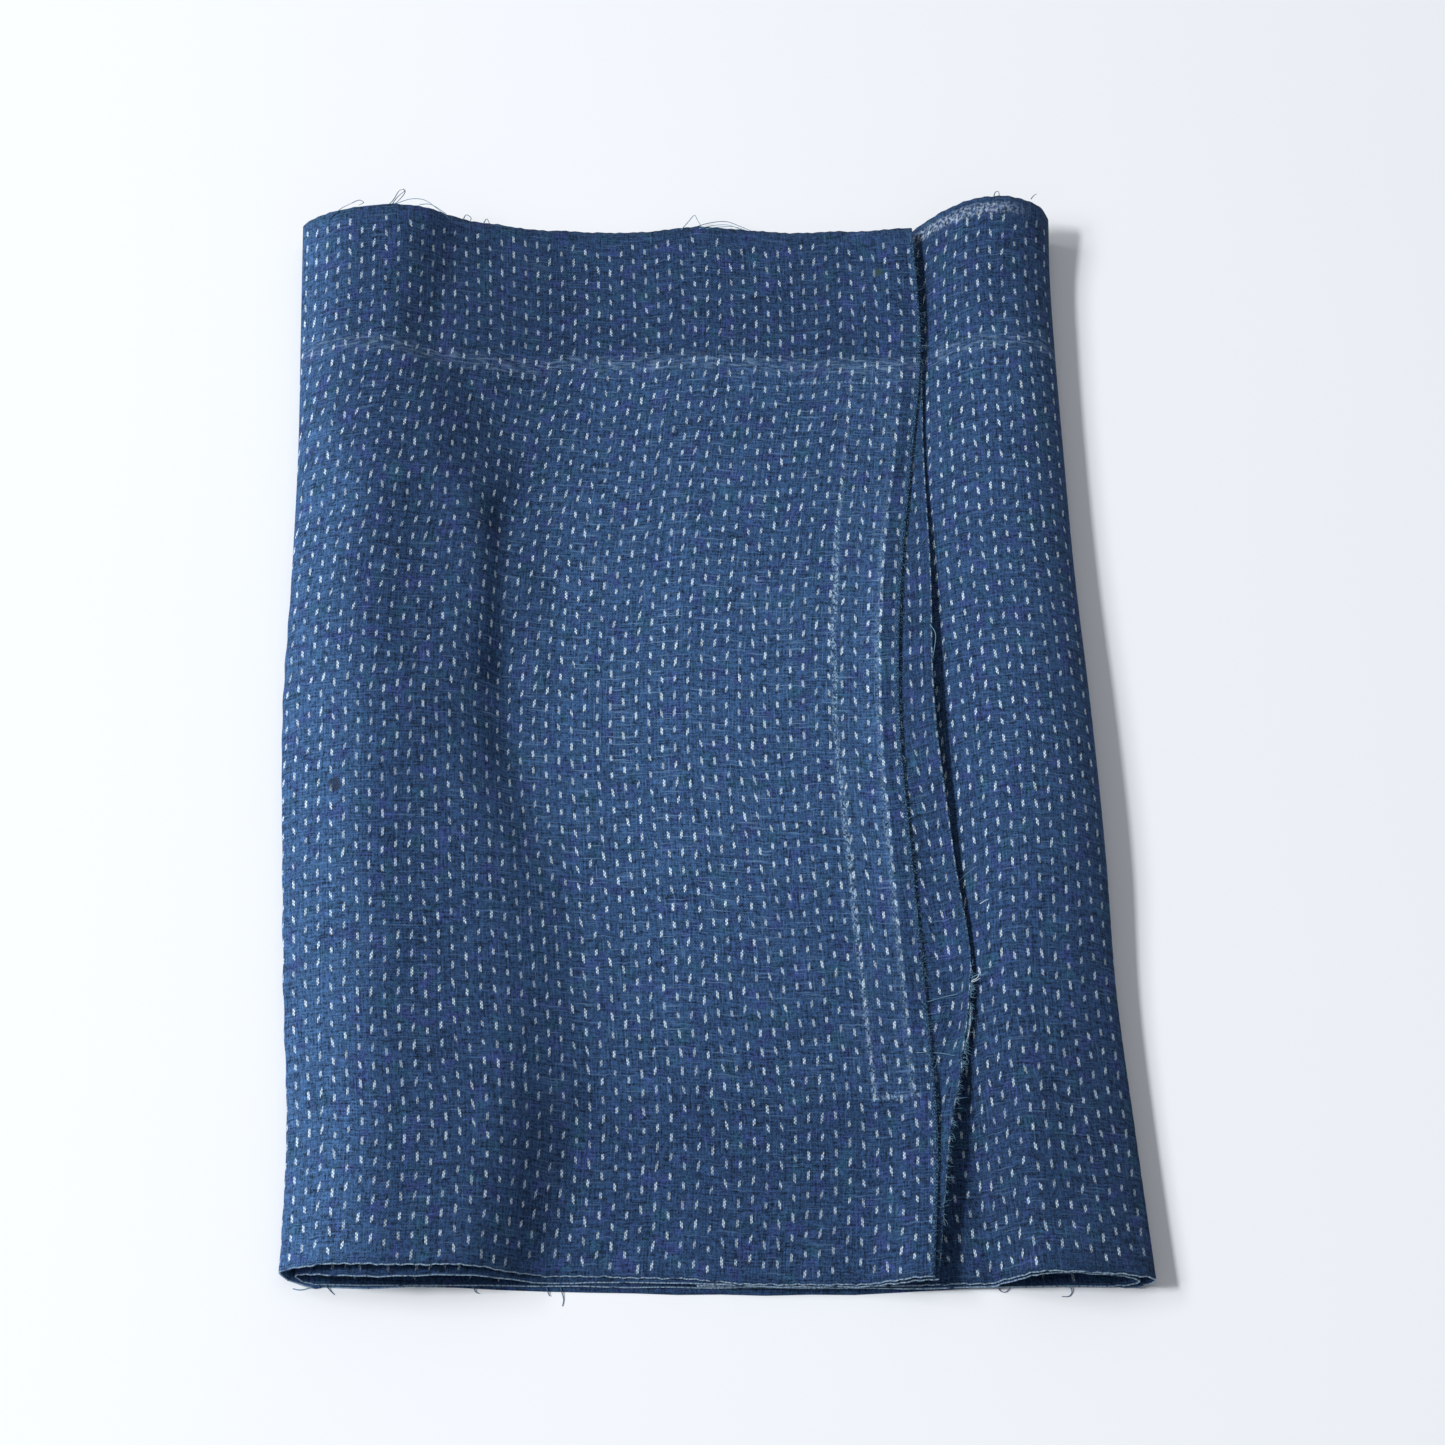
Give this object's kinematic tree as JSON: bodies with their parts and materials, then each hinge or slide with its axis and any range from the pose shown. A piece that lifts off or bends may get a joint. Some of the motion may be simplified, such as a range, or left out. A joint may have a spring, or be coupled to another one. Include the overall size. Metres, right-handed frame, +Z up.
{
  "type": "folded kasuri hemp fabric",
  "caption": "Loom-wide length of thin indigo hemp cloth with fine white kasuri dashes, doubled and softly folded in three, lying flat for storage, display or use as textile stock.",
  "frame": {"origin": "on the table, under the middle of the box", "axes": "+X along the warp from the left fold to the right fold, +Y from the near selvedge to the far one, +Z up"},
  "size_m": [0.2374, 0.3302, 0.02],
  "materials": {
    "indigo_hemp": "matte plain weave, indigo dyed with small undyed dashes"
  },
  "bodies": {
    "root": {"folded_hemp_cloth": "indigo_hemp"}
  },
  "joints": []
}
